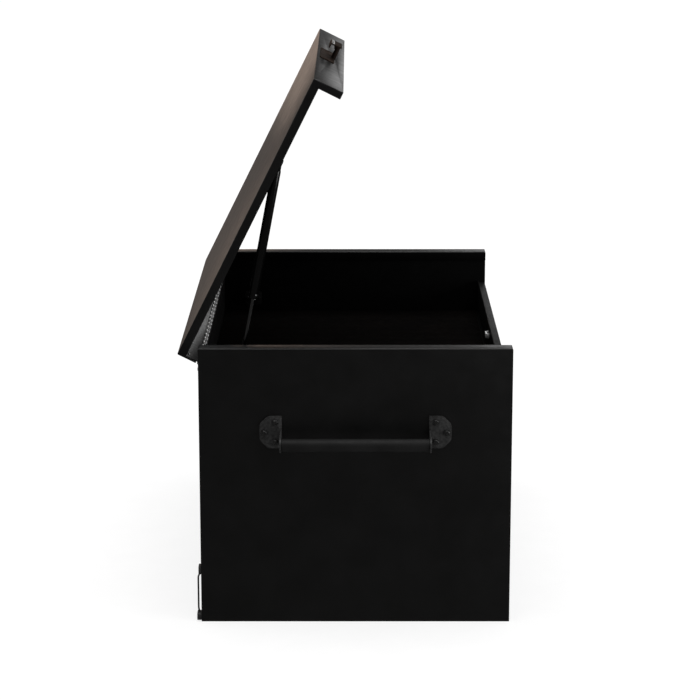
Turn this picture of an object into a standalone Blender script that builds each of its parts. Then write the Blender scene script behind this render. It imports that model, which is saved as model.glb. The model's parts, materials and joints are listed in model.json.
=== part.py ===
"""Tool chest with a gas-sprung lid, an open till and three drawers.

Metres, +Z up, +X to the chest's right-hand side, -Y towards its front.
The origin is the middle of the base. The lid is modelled shut, in the
chest's own axes, and its parent empty on the hinge line swings it open.
"""

from math import atan2, cos, hypot, pi, radians, sin

import bmesh
import bpy
from mathutils import Matrix, Vector

# ---------------------------------------------------------------- sizes
WIDTH = 1.014
DEPTH = 0.610
HEIGHT = 0.556
SHEET = 0.0015
GAP = 0.0003

HALF_WIDTH = WIDTH / 2
FRONT = -DEPTH / 2
BACK = DEPTH / 2
FLANGE = 0.0345
FLANGE_DROP = 0.020
INNER = HALF_WIDTH - FLANGE
WALL = INNER + SHEET + GAP

TILL_FLOOR = 0.413
LINER = 0.003
LINER_SIDE = 0.002
LINER_END = 0.003
RAIL_TOP = HEIGHT - 0.0725
RAIL_HEM = 0.0035
RAIL_OUTSIDE = FRONT + 0.0013
RAIL_INSIDE = FRONT + 0.0175
RAIL_FOOT = 0.402

BACK_TOP = 0.500
TOE_HEIGHT = 0.030
TOE_SET = 0.0025
HEEL_SET = 0.0020

# How far a cutter reaches past the sheet it cuts
REACH = 0.020

# Lid, as it lies when shut
LID_OPEN = radians(63.5)
LID_HALF_WIDTH = 0.470
LID_BACK = 0.297
LIP_DEPTH = 0.0626
LIP_RETURN = 0.0145
SIDE_SKIRT = 0.017
BACK_SKIRT = 0.040
STIFFENER_HALF = 0.400
HAT_EDGE = 0.060
HAT_FOOT = 0.040
HAT_CROWN = 0.030
HAT_DEPTH = 0.016
HAT_SHEET = 0.0012

# Piano hinge
HINGE_Y = 0.306
HINGE_Z = 0.505
HINGE_HALF = 0.460
KNUCKLE_MID = 0.0025
KNUCKLE_COUNT = 45
KNUCKLE_ROOM = 0.007
LEAF = 0.0012
LEAF_FOOT = HEIGHT - 0.094
LEAF_HEAD = HEIGHT - 0.006
LOWER_LEAF_BEND = HINGE_Z - 0.0065
UPPER_LEAF_BEND = HINGE_Z + 0.0090
PIN_RADIUS = 0.0016

# Gas struts
STRUT_X = 0.447
STRUT_LOW = (0.237, 0.446)
STRUT_HIGH = (0.1500, 0.9066)
STRUT_HIGH_SHUT = (-0.1230, 0.5445)
STRUT_STEP = 0.2004
STRUT_BORE = 0.140
CYLINDER_RADIUS = 0.0092
CYLINDER_HEAD = 0.018
NECK_RADIUS = 0.0045
ROD_RADIUS = 0.004
ROD_REACH = 0.022
EYE_RADIUS = 0.0068
EYE_LENGTH = 0.010
BALL_RADIUS = 0.0075
STUD_RADIUS = 0.003
RUNNING_GAP = 0.0004
WALL_PLATE = (0.020, 0.016)
BRACKET = 0.002
LID_BRACKET_OFFSET = 0.0125
LID_BRACKET_FLANGE = 0.0075
LID_BRACKET_HALF = 0.018
LID_BRACKET_DROP = 0.012

# Side handles
HANDLE_Z = 0.390
PLATE_INNER = 0.1435
PLATE_OUTER = 0.187
PLATE_HALF_HEIGHT = 0.0325
PLATE = 0.003
PLATE_CORNER = (0.013, 0.0165)
EAR_RADIUS = 0.0145
TUBE_RADIUS = 0.0125
TUBE_STAND = 0.060
TUBE_Z = 0.379
BOLT_HEAD = 0.0065
BOLT_RISE = 0.0048
BOLT_SHANK = 0.003
BOLT_LENGTH = 0.010
BOLT_PLACES = ((0.1565, 0.020), (0.1565, -0.020), (0.178, -0.001))

# Turn latch, in the shut lid's place: the handle's spindle runs along Y
LATCH_HALF = 0.0875
LATCH_TOP = HEIGHT - 0.007
LATCH_FOOT = HEIGHT - 0.039
LATCH_PLATE = 0.0015
SPINDLE_Z = HEIGHT - 0.036
SPINDLE_RADIUS = 0.005
SPINDLE_END = -0.2755
GRIP_FRONT = FRONT - 0.032
GRIP_THICK = 0.0025
GRIP_HALF = 0.040
GRIP_FOOT = SPINDLE_Z - 0.0055
GRIP_HEAD = HEIGHT - 0.0166
NUT_RADIUS = 0.0105
NUT_LENGTH = 0.006
CAM_FRONT = -0.2785
CAM_THICK = 0.003
CAM_HALF = 0.006
CAM_MARGIN = 0.002
CAM_TIP = 0.066
CAM_FOOT = 0.0052
CAM_FOOT_DEPTH = 0.0075
STRIKER_Z = 0.467
STRIKER_Y = -0.2810
STRIKER_HALF_HEIGHT = 0.005
STRIKER_HALF = 0.014
STRIKER_ARM = 0.004
STRIKER_STRAP = 0.003

# Drawers: the foot and head of each front
DRAWER_FRONTS = (("low", 0.034, 0.164), ("middle", 0.168, 0.283), ("top", 0.287, 0.398))
DRAWER_FACE = -0.290
DRAWER_BACK = 0.255
DRAWER_FRONT_HALF = 0.4715
DRAWER_FRONT_SHEET = 1.5 * SHEET
TUB_HALF = 0.4575
TUB_LIFT = 0.010
TUB_DROP = 0.024
RUNNER_HALF_HEIGHT = 0.014
RUNNER_STAND = 0.010
RUNNER_START = 0.020
SLIDE_START = 0.025
SLIDE_LIFT = 0.008
SLIDE_HEIGHT = 0.045
SLIDE_CLEAR = 0.0125
PULL_DROP = 0.030
PULL_LIP = 0.016
PULL_BEVEL = 0.004
PULL_FRONT = FRONT + 0.001

# Wire staple on the back, low at the left
STAPLE_X = -0.495
STAPLE_HALF = 0.012
STAPLE_BLOCKS = (("upper", 0.0970, 0.1136, 0.0050), ("lower", 0.0020, 0.0170, 0.0087))
STAPLE_WIRE = 0.0018
STAPLE_STAND = 0.0062
STAPLE_BEND = 0.006
STAPLE_ROOTS = (0.0032, 0.0045)


# ---------------------------------------------------------------- scene
for old in list(bpy.data.objects):
    bpy.data.objects.remove(old, do_unlink=True)

parts = bpy.data.collections.new("tool_chest")
cutters = bpy.data.collections.new("cutters")
bpy.context.scene.collection.children.link(parts)
bpy.context.scene.collection.children.link(cutters)


def finish(name, colour, roughness, metallic):
    material = bpy.data.materials.new(name)
    material.use_nodes = True
    shader = material.node_tree.nodes["Principled BSDF"]
    shader.inputs["Base Color"].default_value = (*colour, 1.0)
    shader.inputs["Roughness"].default_value = roughness
    shader.inputs["Metallic"].default_value = metallic
    return material


FINISHES = {
    "black_paint": ((0.006, 0.006, 0.006), 0.32, 0.0),
    "black_inside": ((0.005, 0.005, 0.005), 0.55, 0.0),
    "textured_black": ((0.016, 0.016, 0.017), 0.60, 0.0),
    "black_tube": ((0.010, 0.010, 0.010), 0.42, 0.0),
    "zinc": ((0.55, 0.56, 0.57), 0.35, 1.0),
    "dark_steel": ((0.10, 0.10, 0.11), 0.38, 1.0),
    "strut_black": ((0.012, 0.012, 0.013), 0.30, 0.0),
    "rod_chrome": ((0.30, 0.30, 0.31), 0.18, 1.0),
    "mat_rubber": ((0.008, 0.008, 0.008), 0.85, 0.0),
}


def keep(name, mesh, material, collection=parts):
    """Puts a mesh in the scene as the named piece, in its own copy of a finish."""
    mesh.materials.clear()
    if material:
        mesh.materials.append(finish(name + "_" + material, *FINISHES[material]))
    piece = bpy.data.objects.new(name, mesh)
    collection.objects.link(piece)
    return piece


def box(name, low, high, material=None, collection=parts):
    low, high = Vector(low), Vector(high)
    shape = bmesh.new()
    bmesh.ops.create_cube(shape, size=1.0)
    bmesh.ops.scale(shape, vec=high - low, verts=shape.verts)
    bmesh.ops.translate(shape, vec=(low + high) / 2, verts=shape.verts)
    mesh = bpy.data.meshes.new(name)
    shape.to_mesh(mesh)
    shape.free()
    return keep(name, mesh, material, collection)


TURN = {
    "X": Matrix.Rotation(pi / 2, 4, "Y"),
    "Y": Matrix.Rotation(pi / 2, 4, "X"),
    "Z": Matrix.Identity(4),
}


def cylinder(name, radius, length, centre, axis, material=None, collection=parts, sides=20):
    shape = bmesh.new()
    bmesh.ops.create_cone(
        shape,
        cap_ends=True,
        segments=sides,
        radius1=radius,
        radius2=radius,
        depth=length,
        matrix=Matrix.Translation(centre) @ TURN[axis],
    )
    mesh = bpy.data.meshes.new(name)
    shape.to_mesh(mesh)
    shape.free()
    piece = keep(name, mesh, material, collection)
    mesh.shade_smooth()
    mesh.set_sharp_from_angle(angle=radians(40))
    return piece


def as_mesh(curve_object, name, material, collection):
    """Turns a curve object into a welded mesh piece in the same place."""
    bpy.context.view_layer.update()
    graph = bpy.context.evaluated_depsgraph_get()
    mesh = bpy.data.meshes.new_from_object(curve_object.evaluated_get(graph))
    place = curve_object.matrix_world.copy()
    bpy.data.objects.remove(curve_object, do_unlink=True)
    shape = bmesh.new()
    shape.from_mesh(mesh)
    bmesh.ops.remove_doubles(shape, verts=shape.verts, dist=0.00001)
    shape.to_mesh(mesh)
    shape.free()
    piece = keep(name, mesh, material, collection)
    piece.matrix_world = place
    return piece


# A profile's plane, as the turn that lays a flat curve in it
PLANES = {"YZ": (pi / 2, 0, pi / 2), "XZ": (pi / 2, 0, 0), "XY": (0, 0, 0)}


def flat_curve(name, points, plane, place, half_length, closed):
    curve = bpy.data.curves.new(name, "CURVE")
    curve.dimensions = "2D"
    curve.fill_mode = "BOTH" if closed else "NONE"
    curve.extrude = half_length
    line = curve.splines.new("POLY")
    line.points.add(len(points) - 1)
    for point, (across, up) in zip(line.points, points):
        point.co = (across, up, 0, 1)
    line.use_cyclic_u = closed
    holder = bpy.data.objects.new(name, curve)
    holder.location = place
    holder.rotation_euler = PLANES[plane]
    parts.objects.link(holder)
    return holder


def folded(name, points, plane, half_length, material, side=1, thickness=SHEET, place=(0, 0, 0)):
    """A sheet bent along the profile, thickened to the side given."""
    piece = as_mesh(flat_curve(name, points, plane, place, half_length, False), name, material, parts)
    thicken = piece.modifiers.new("sheet", "SOLIDIFY")
    thicken.thickness = thickness
    thicken.offset = side
    thicken.use_even_offset = True
    return piece


def cut_out(name, points, plane, half_length, material, place=(0, 0, 0), collection=parts):
    """A plate of the outline, half_length to each side of its plane."""
    return as_mesh(
        flat_curve(name, points, plane, place, half_length, True), name, material, collection
    )


def turned(name, profile, material, steps=20):
    """A profile of (radius, height), listed from the top down, turned about Z."""
    mesh = bpy.data.meshes.new(name)
    points = [(radius, 0, height) for radius, height in profile]
    mesh.from_pydata(points, [(i, i + 1) for i in range(len(points) - 1)], [])
    piece = keep(name, mesh, material)
    spin = piece.modifiers.new("turn", "SCREW")
    spin.steps = spin.render_steps = steps
    spin.use_merge_vertices = True
    spin.merge_threshold = 0.00005
    spin.use_smooth_shade = False
    return piece


def combine(piece, tool, operation):
    tool.hide_render = True
    tool.display_type = "WIRE"
    change = piece.modifiers.new(tool.name, "BOOLEAN")
    change.operation = operation
    change.solver = "EXACT"
    change.object = tool
    return tool


def cut(piece, tool):
    return combine(piece, tool, "DIFFERENCE")


def join(piece, tool):
    return combine(piece, tool, "UNION")


def pivot(name, place, angle, pieces):
    """Hangs pieces from an empty on their axis, then turns it about X."""
    holder = bpy.data.objects.new(name, None)
    holder.location = place
    parts.objects.link(holder)
    bpy.context.view_layer.update()
    for piece in pieces:
        piece.parent = holder
        piece.matrix_parent_inverse = holder.matrix_world.inverted()
    holder.rotation_euler.x = angle
    return holder


def arc(centre, radius, start, end, count):
    """Points of an arc, with angles in degrees from +Y towards +Z."""
    turns = [radians(start + (end - start) * i / count) for i in range(count + 1)]
    return [(centre[0] + radius * cos(t), centre[1] + radius * sin(t)) for t in turns]


# ---------------------------------------------------------------- casing
def side_casing(side, hand):
    """Outer panel with its top flange, the inner wall and the front post."""
    outside = side * HALF_WIDTH
    panel = folded(
        f"side_panel_{hand}",
        [
            (outside, 0),
            (outside, HEIGHT),
            (side * INNER, HEIGHT),
            (side * INNER, HEIGHT - FLANGE_DROP),
        ],
        "XZ",
        DEPTH / 2,
        "black_paint",
        side,
    )
    for place, (along, rise) in enumerate(BOLT_PLACES):
        for end in (-1, 1):
            hole = cylinder(
                f"panel_hole_{hand}_{place}_{end}",
                BOLT_SHANK + GAP,
                REACH,
                (outside, end * along, HANDLE_Z + rise),
                "X",
                None,
                cutters,
                12,
            )
            cut(panel, hole)
    head = HEIGHT - SHEET - 2 * GAP
    folded(
        f"inner_wall_{hand}",
        [
            (side * (HALF_WIDTH - SHEET - GAP), FRONT + GAP),
            (side * WALL, FRONT + GAP),
            (side * WALL, BACK - SHEET - GAP),
        ],
        "XY",
        head / 2,
        "black_inside",
        -side,
        place=(0, 0, head / 2),
    )


def back_and_base():
    edge = HALF_WIDTH - SHEET - GAP
    back = box(
        "back_panel",
        (-edge, BACK - SHEET, 0),
        (edge, BACK, HEIGHT - SHEET - GAP),
        "black_paint",
    )
    opening = box(
        "back_opening",
        (-WALL, BACK - REACH, BACK_TOP),
        (WALL, BACK + REACH, HEIGHT + REACH),
        None,
        cutters,
    )
    cut(back, opening)
    folded(
        "base_panel",
        [
            (FRONT + TOE_SET, TOE_HEIGHT),
            (FRONT + TOE_SET, 0),
            (BACK - HEEL_SET, 0),
            (BACK - HEEL_SET, SHEET + GAP),
        ],
        "YZ",
        WALL - GAP,
        "black_paint",
        1,
    )


def till():
    edge = WALL - GAP
    box(
        "till_floor",
        (-edge, RAIL_INSIDE + 2 * GAP, TILL_FLOOR - SHEET),
        (edge, BACK - SHEET - GAP, TILL_FLOOR),
        "black_inside",
    )
    box(
        "till_liner",
        (-edge + LINER_SIDE, RAIL_INSIDE + LINER_END, TILL_FLOOR + GAP),
        (edge - LINER_SIDE, BACK - SHEET - LINER_END, TILL_FLOOR + LINER),
        "mat_rubber",
    )
    folded(
        "front_top_rail",
        [
            (RAIL_OUTSIDE, RAIL_FOOT),
            (RAIL_OUTSIDE, RAIL_TOP),
            (RAIL_INSIDE - RAIL_HEM, RAIL_TOP),
            (RAIL_INSIDE - RAIL_HEM, RAIL_TOP + RAIL_HEM),
            (RAIL_INSIDE, RAIL_TOP + RAIL_HEM),
            (RAIL_INSIDE, RAIL_FOOT),
        ],
        "YZ",
        edge,
        "black_paint",
        -1,
    )


# ---------------------------------------------------------------- hinge
def knuckle_gaps(name, first, low, high):
    """Boxes from low to high that clear every second knuckle's place along the hinge."""
    pitch = 2 * HINGE_HALF / KNUCKLE_COUNT
    shape = bmesh.new()
    for index in range(first, KNUCKLE_COUNT, 2):
        middle = -HINGE_HALF + (index + 0.5) * pitch
        centre = (middle, HINGE_Y, (low + high) / 2)
        size = (pitch + 2 * GAP, 2 * KNUCKLE_ROOM, high - low)
        place = Matrix.Translation(centre) @ Matrix.Diagonal((*size, 1))
        bmesh.ops.create_cube(shape, size=1.0, matrix=place)
    mesh = bpy.data.meshes.new(name)
    shape.to_mesh(mesh)
    shape.free()
    return keep(name, mesh, None, cutters)


def hinge():
    """Two rolled leaves and their pin. Returns what moves with the lid."""
    axis = (HINGE_Y, HINGE_Z)
    flat = BACK + GAP + LEAF / 2
    lower = folded(
        "hinge_leaf_lower",
        [
            (flat, LEAF_FOOT),
            (flat, LOWER_LEAF_BEND),
            (HINGE_Y + KNUCKLE_MID, LOWER_LEAF_BEND + 0.0035),
            *arc(axis, KNUCKLE_MID, 0, 260, 10),
        ],
        "YZ",
        HINGE_HALF,
        "dark_steel",
        0,
        LEAF,
    )
    lower_root = LOWER_LEAF_BEND + LEAF
    cut(lower, knuckle_gaps("lower_gaps", 1, lower_root, HINGE_Z + KNUCKLE_ROOM))
    inside = LID_BACK - SHEET - GAP - LEAF / 2
    upper = folded(
        "hinge_leaf_upper",
        [
            (inside, LEAF_HEAD),
            (inside, UPPER_LEAF_BEND),
            (HINGE_Y - KNUCKLE_MID, UPPER_LEAF_BEND - 0.0045),
            *arc(axis, KNUCKLE_MID, 180, 440, 10),
        ],
        "YZ",
        HINGE_HALF,
        "dark_steel",
        0,
        LEAF,
    )
    upper_root = UPPER_LEAF_BEND - 2 * LEAF
    gaps = knuckle_gaps("upper_gaps", 0, HINGE_Z - KNUCKLE_ROOM, upper_root)
    cut(upper, gaps)
    cylinder("hinge_pin", PIN_RADIUS, 2 * HINGE_HALF, (0, *axis), "X", "zinc", sides=12)
    return [upper, gaps]


# ---------------------------------------------------------------- lid
def lid():
    """The lid's own pieces, in the shut place."""
    shell = box(
        "lid_shell",
        (-LID_HALF_WIDTH, FRONT, HEIGHT - LIP_DEPTH),
        (LID_HALF_WIDTH, LID_BACK, HEIGHT),
        "black_paint",
    )
    shape = bmesh.new()
    shape.from_mesh(shell.data)
    underside = [face for face in shape.faces if face.normal.z < -0.9]
    bmesh.ops.delete(shape, geom=underside, context="FACES_ONLY")
    shape.to_mesh(shell.data)
    shape.free()
    thicken = shell.modifiers.new("sheet", "SOLIDIFY")
    thicken.thickness = SHEET
    thicken.offset = -1
    thicken.use_even_offset = True
    below = HEIGHT - LIP_DEPTH - REACH
    side_relief = box(
        "side_relief",
        (-HALF_WIDTH, FRONT + LIP_RETURN, below),
        (HALF_WIDTH, LID_BACK - 2 * SHEET, HEIGHT - SIDE_SKIRT),
        None,
        cutters,
    )
    back_relief = box(
        "back_relief",
        (-HALF_WIDTH, LID_BACK - 3 * SHEET, below),
        (HALF_WIDTH, LID_BACK + REACH, HEIGHT - BACK_SKIRT),
        None,
        cutters,
    )
    cut(shell, side_relief)
    cut(shell, back_relief)

    under = HEIGHT - SHEET - GAP
    stiffener = folded(
        "lid_stiffener",
        [
            (-HAT_EDGE, under),
            (-HAT_FOOT, under),
            (-HAT_CROWN, under - HAT_DEPTH),
            (HAT_CROWN, under - HAT_DEPTH),
            (HAT_FOOT, under),
            (HAT_EDGE, under),
        ],
        "YZ",
        STIFFENER_HALF,
        "black_inside",
        -1,
        HAT_SHEET,
    )
    pieces = [shell, side_relief, back_relief, stiffener]
    for side, hand in ((-1, "left"), (1, "right")):
        plate = STRUT_X + LID_BRACKET_OFFSET
        bracket = folded(
            f"strut_lid_bracket_{hand}",
            [
                (side * (plate + LID_BRACKET_FLANGE), under),
                (side * plate, under),
                (side * plate, STRUT_HIGH_SHUT[1] - LID_BRACKET_DROP),
            ],
            "XZ",
            LID_BRACKET_HALF,
            "dark_steel",
            side,
            BRACKET,
            (0, STRUT_HIGH_SHUT[0], 0),
        )
        pieces.append(bracket)
    return pieces


def latch(shell):
    """Base on the lip and nut behind it, the turn handle and its cam."""
    spindle = (0, FRONT, SPINDLE_Z)
    base = box(
        "latch_base",
        (-LATCH_HALF, FRONT - GAP - LATCH_PLATE, LATCH_FOOT),
        (LATCH_HALF, FRONT - GAP, LATCH_TOP),
        "textured_black",
    )
    bore = cylinder(
        "spindle_bore", SPINDLE_RADIUS + RUNNING_GAP, 2 * REACH, spindle, "Y", None, cutters
    )
    cut(base, bore)
    cut(shell, bore)

    nut_middle = FRONT + SHEET + GAP + NUT_LENGTH / 2
    nut = cylinder(
        "latch_nut", NUT_RADIUS, NUT_LENGTH, (0, nut_middle, SPINDLE_Z), "Y", "zinc", sides=6
    )
    cut(nut, bore)

    handle_front = GRIP_FRONT + GRIP_THICK / 2
    handle_piece = cylinder(
        "latch_handle",
        SPINDLE_RADIUS,
        SPINDLE_END - handle_front,
        (0, (SPINDLE_END + handle_front) / 2, SPINDLE_Z),
        "Y",
        "textured_black",
    )
    grip = box(
        "latch_grip",
        (-GRIP_HALF, GRIP_FRONT, GRIP_FOOT),
        (GRIP_HALF, GRIP_FRONT + GRIP_THICK, GRIP_HEAD),
        None,
        cutters,
    )
    join(handle_piece, grip)

    margin = CAM_HALF + CAM_MARGIN
    cam = box(
        "latch_cam",
        (-margin, CAM_FRONT, SPINDLE_Z - margin),
        (CAM_TIP, CAM_FRONT + CAM_THICK, SPINDLE_Z + margin),
        "zinc",
    )
    foot = box(
        "cam_foot",
        (CAM_TIP - CAM_FOOT, CAM_FRONT - CAM_FOOT_DEPTH, SPINDLE_Z - CAM_HALF),
        (CAM_TIP, CAM_FRONT + CAM_THICK / 2, SPINDLE_Z + CAM_HALF),
        None,
        cutters,
    )
    join(cam, foot)
    cam_bore = cylinder(
        "cam_bore", SPINDLE_RADIUS + GAP, REACH, (0, CAM_FRONT, SPINDLE_Z), "Y", None, cutters
    )
    cut(cam, cam_bore)
    return [base, bore, nut, handle_piece, grip, cam, foot, cam_bore]


def striker():
    """A staple on the rail's inner face for the cam's foot."""
    root = RAIL_INSIDE + GAP
    inner_face = STRIKER_Y - STRIKER_STRAP / 2
    outer_face = STRIKER_Y + STRIKER_STRAP / 2
    inner = STRIKER_HALF - STRIKER_ARM
    outline = [
        (-STRIKER_HALF, root),
        (-STRIKER_HALF, outer_face),
        (STRIKER_HALF, outer_face),
        (STRIKER_HALF, root),
        (inner, root),
        (inner, inner_face),
        (-inner, inner_face),
        (-inner, root),
    ]
    cut_out("striker", outline, "XY", STRIKER_HALF_HEIGHT, "zinc", (0, 0, STRIKER_Z))


# ---------------------------------------------------------------- struts
def strut(side, hand):
    """Rod on its wall stud, with the cylinder that slides on it."""
    low_y, low_z = STRUT_LOW
    centre = side * STRUT_X
    rise = (STRUT_HIGH[1] - low_z, low_y - STRUT_HIGH[0])
    length = hypot(*rise)
    lean = atan2(rise[1], rise[0])

    wall_face = side * (WALL - GAP)
    near, far = sorted((wall_face, wall_face - side * BRACKET))
    half_depth, half_height = WALL_PLATE
    plate = box(
        f"strut_wall_bracket_{hand}",
        (near, low_y - half_depth, low_z - half_height),
        (far, low_y + half_depth, low_z + half_height),
        "dark_steel",
    )
    stud_root = wall_face - side * BRACKET / 2
    stud_end = centre - side * (EYE_LENGTH / 2 + BRACKET)
    stud = cylinder(
        f"wall_stud_{hand}",
        STUD_RADIUS,
        abs(stud_root - stud_end),
        ((stud_root + stud_end) / 2, low_y, low_z),
        "X",
        None,
        cutters,
        16,
    )
    join(plate, stud)

    rod_foot = STUD_RADIUS
    rod_top = STRUT_STEP + ROD_REACH
    rod = cylinder(
        f"strut_rod_{hand}",
        ROD_RADIUS,
        rod_top - rod_foot,
        (0, 0, (rod_top + rod_foot) / 2),
        "Z",
        "rod_chrome",
        sides=16,
    )
    eye = cylinder(f"rod_eye_{hand}", EYE_RADIUS, EYE_LENGTH, (0, 0, 0), "X", None, cutters)
    bore = cylinder(
        f"rod_bore_{hand}", STUD_RADIUS + RUNNING_GAP, REACH, (0, 0, 0), "X", None, cutters
    )
    join(rod, eye)
    cut(rod, bore)

    ball = arc((0, length), BALL_RADIUS, 90, -50, 7)
    bore_radius = ROD_RADIUS + RUNNING_GAP
    sleeve = turned(
        f"strut_cylinder_{hand}",
        [
            *[(max(radius, 0), height) for radius, height in ball],
            (NECK_RADIUS, length - CYLINDER_HEAD + 0.004),
            (CYLINDER_RADIUS - 0.001, length - CYLINDER_HEAD + 0.002),
            (CYLINDER_RADIUS, length - CYLINDER_HEAD),
            (CYLINDER_RADIUS, STRUT_STEP + 0.002),
            (CYLINDER_RADIUS - 0.002, STRUT_STEP),
            (bore_radius, STRUT_STEP),
            (bore_radius, STRUT_STEP + STRUT_BORE),
            (0, STRUT_STEP + STRUT_BORE),
        ],
        "strut_black",
    )
    holder = pivot(f"strut_pivot_{hand}", (0, 0, 0), 0, [rod, eye, bore, sleeve])
    holder.location = (centre, low_y, low_z)
    holder.rotation_euler.x = lean


# ---------------------------------------------------------------- handles
def handle(side, hand):
    """Two bent brackets, six bolts and a tube on a side panel."""
    face = side * (HALF_WIDTH + GAP)
    corner_in, corner_down = PLATE_CORNER
    for end, where in ((-1, "front"), (1, "rear")):
        near, far = sorted((face, face + side * PLATE))
        outline = [
            (end * PLATE_INNER, HANDLE_Z - PLATE_HALF_HEIGHT),
            (end * PLATE_INNER, HANDLE_Z + PLATE_HALF_HEIGHT),
            (end * (PLATE_OUTER - corner_in), HANDLE_Z + PLATE_HALF_HEIGHT),
            (end * PLATE_OUTER, HANDLE_Z + PLATE_HALF_HEIGHT - corner_down),
            (end * PLATE_OUTER, HANDLE_Z - PLATE_HALF_HEIGHT + corner_down),
            (end * (PLATE_OUTER - corner_in), HANDLE_Z - PLATE_HALF_HEIGHT),
        ]
        bracket = cut_out(
            f"handle_bracket_{hand}_{where}",
            outline,
            "YZ",
            PLATE / 2,
            "textured_black",
            ((near + far) / 2, 0, 0),
        )
        root = side * (HALF_WIDTH + GAP + PLATE / 2)
        tip = side * (HALF_WIDTH + TUBE_STAND)
        ear = cut_out(
            f"handle_ear_{hand}_{where}",
            [
                (root, TUBE_Z - EAR_RADIUS),
                (root, TUBE_Z + EAR_RADIUS),
                *[
                    (tip + side * EAR_RADIUS * cos(turn), TUBE_Z + EAR_RADIUS * sin(turn))
                    for turn in [radians(90 - 180 * i / 8) for i in range(9)]
                ],
            ],
            "XZ",
            PLATE / 2,
            None,
            (0, end * (PLATE_INNER + PLATE / 2), 0),
            cutters,
        )
        join(bracket, ear)
        for place, (along, rise) in enumerate(BOLT_PLACES):
            spot = (0, end * along, HANDLE_Z + rise)
            hole = cylinder(
                f"bracket_hole_{hand}_{where}_{place}",
                BOLT_SHANK + GAP,
                REACH,
                (face, spot[1], spot[2]),
                "X",
                None,
                cutters,
                12,
            )
            cut(bracket, hole)
            bolt = turned(
                f"handle_bolt_{hand}_{where}_{place + 1}",
                [
                    (0, BOLT_RISE),
                    (0.54 * BOLT_HEAD, 0.92 * BOLT_RISE),
                    (0.85 * BOLT_HEAD, 0.62 * BOLT_RISE),
                    (BOLT_HEAD, 0.25 * BOLT_RISE),
                    (BOLT_HEAD, 0),
                    (BOLT_SHANK, 0),
                    (BOLT_SHANK, -BOLT_LENGTH),
                    (0, -BOLT_LENGTH),
                ],
                "dark_steel",
                12,
            )
            bolt.location = (face + side * (PLATE + GAP), spot[1], spot[2])
            bolt.rotation_euler.y = side * pi / 2
    cylinder(
        f"handle_tube_{hand}",
        TUBE_RADIUS,
        2 * (PLATE_INNER - GAP),
        (side * (HALF_WIDTH + TUBE_STAND), 0, TUBE_Z),
        "Y",
        "black_tube",
        sides=28,
    )


# ---------------------------------------------------------------- drawers
def drawer(name, foot, head):
    """A tub with its front and rails, its pull, and the two slides."""
    tub_foot = foot + TUB_LIFT
    tub_head = head - TUB_DROP
    tub = box(
        f"drawer_{name}",
        (-TUB_HALF, DRAWER_FACE + SHEET, tub_foot),
        (TUB_HALF, DRAWER_BACK, tub_head),
        "black_inside",
    )
    shape = bmesh.new()
    shape.from_mesh(tub.data)
    top = [face for face in shape.faces if face.normal.z > 0.9]
    bmesh.ops.delete(shape, geom=top, context="FACES_ONLY")
    shape.to_mesh(tub.data)
    shape.free()
    thicken = tub.modifiers.new("sheet", "SOLIDIFY")
    thicken.thickness = SHEET
    thicken.offset = -1
    thicken.use_even_offset = True
    front = box(
        f"drawer_front_{name}",
        (-DRAWER_FRONT_HALF, DRAWER_FACE, foot),
        (DRAWER_FRONT_HALF, DRAWER_FACE + DRAWER_FRONT_SHEET, head),
        None,
        cutters,
    )
    join(tub, front)
    slide_mid = tub_foot + SLIDE_LIFT + SLIDE_HEIGHT / 2
    for side, hand in ((-1, "left"), (1, "right")):
        near, far = sorted((side * (TUB_HALF - SHEET / 2), side * (TUB_HALF + RUNNER_STAND)))
        rail = box(
            f"drawer_rail_{name}_{hand}",
            (near, DRAWER_FACE + RUNNER_START, slide_mid - RUNNER_HALF_HEIGHT),
            (far, DRAWER_BACK, slide_mid + RUNNER_HALF_HEIGHT),
            None,
            cutters,
        )
        join(tub, rail)
        outer = side * (WALL - GAP)
        inner = side * (WALL - GAP - SLIDE_CLEAR)
        folded(
            f"slide_{name}_{hand}",
            [
                (inner, slide_mid - SLIDE_HEIGHT / 2),
                (outer, slide_mid - SLIDE_HEIGHT / 2),
                (outer, slide_mid + SLIDE_HEIGHT / 2),
                (inner, slide_mid + SLIDE_HEIGHT / 2),
            ],
            "XZ",
            (DRAWER_BACK - DRAWER_FACE - SLIDE_START) / 2,
            "zinc",
            side,
            place=(0, (DRAWER_BACK + DRAWER_FACE + SLIDE_START) / 2, 0),
        )
    folded(
        f"drawer_pull_{name}",
        [
            (DRAWER_FACE - GAP, head - PULL_DROP),
            (DRAWER_FACE - GAP, head),
            (PULL_FRONT + PULL_BEVEL - SHEET / 2, head),
            (PULL_FRONT, head - PULL_BEVEL),
            (PULL_FRONT, head - PULL_LIP),
        ],
        "YZ",
        DRAWER_FRONT_HALF,
        "dark_steel",
        1,
    )


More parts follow.
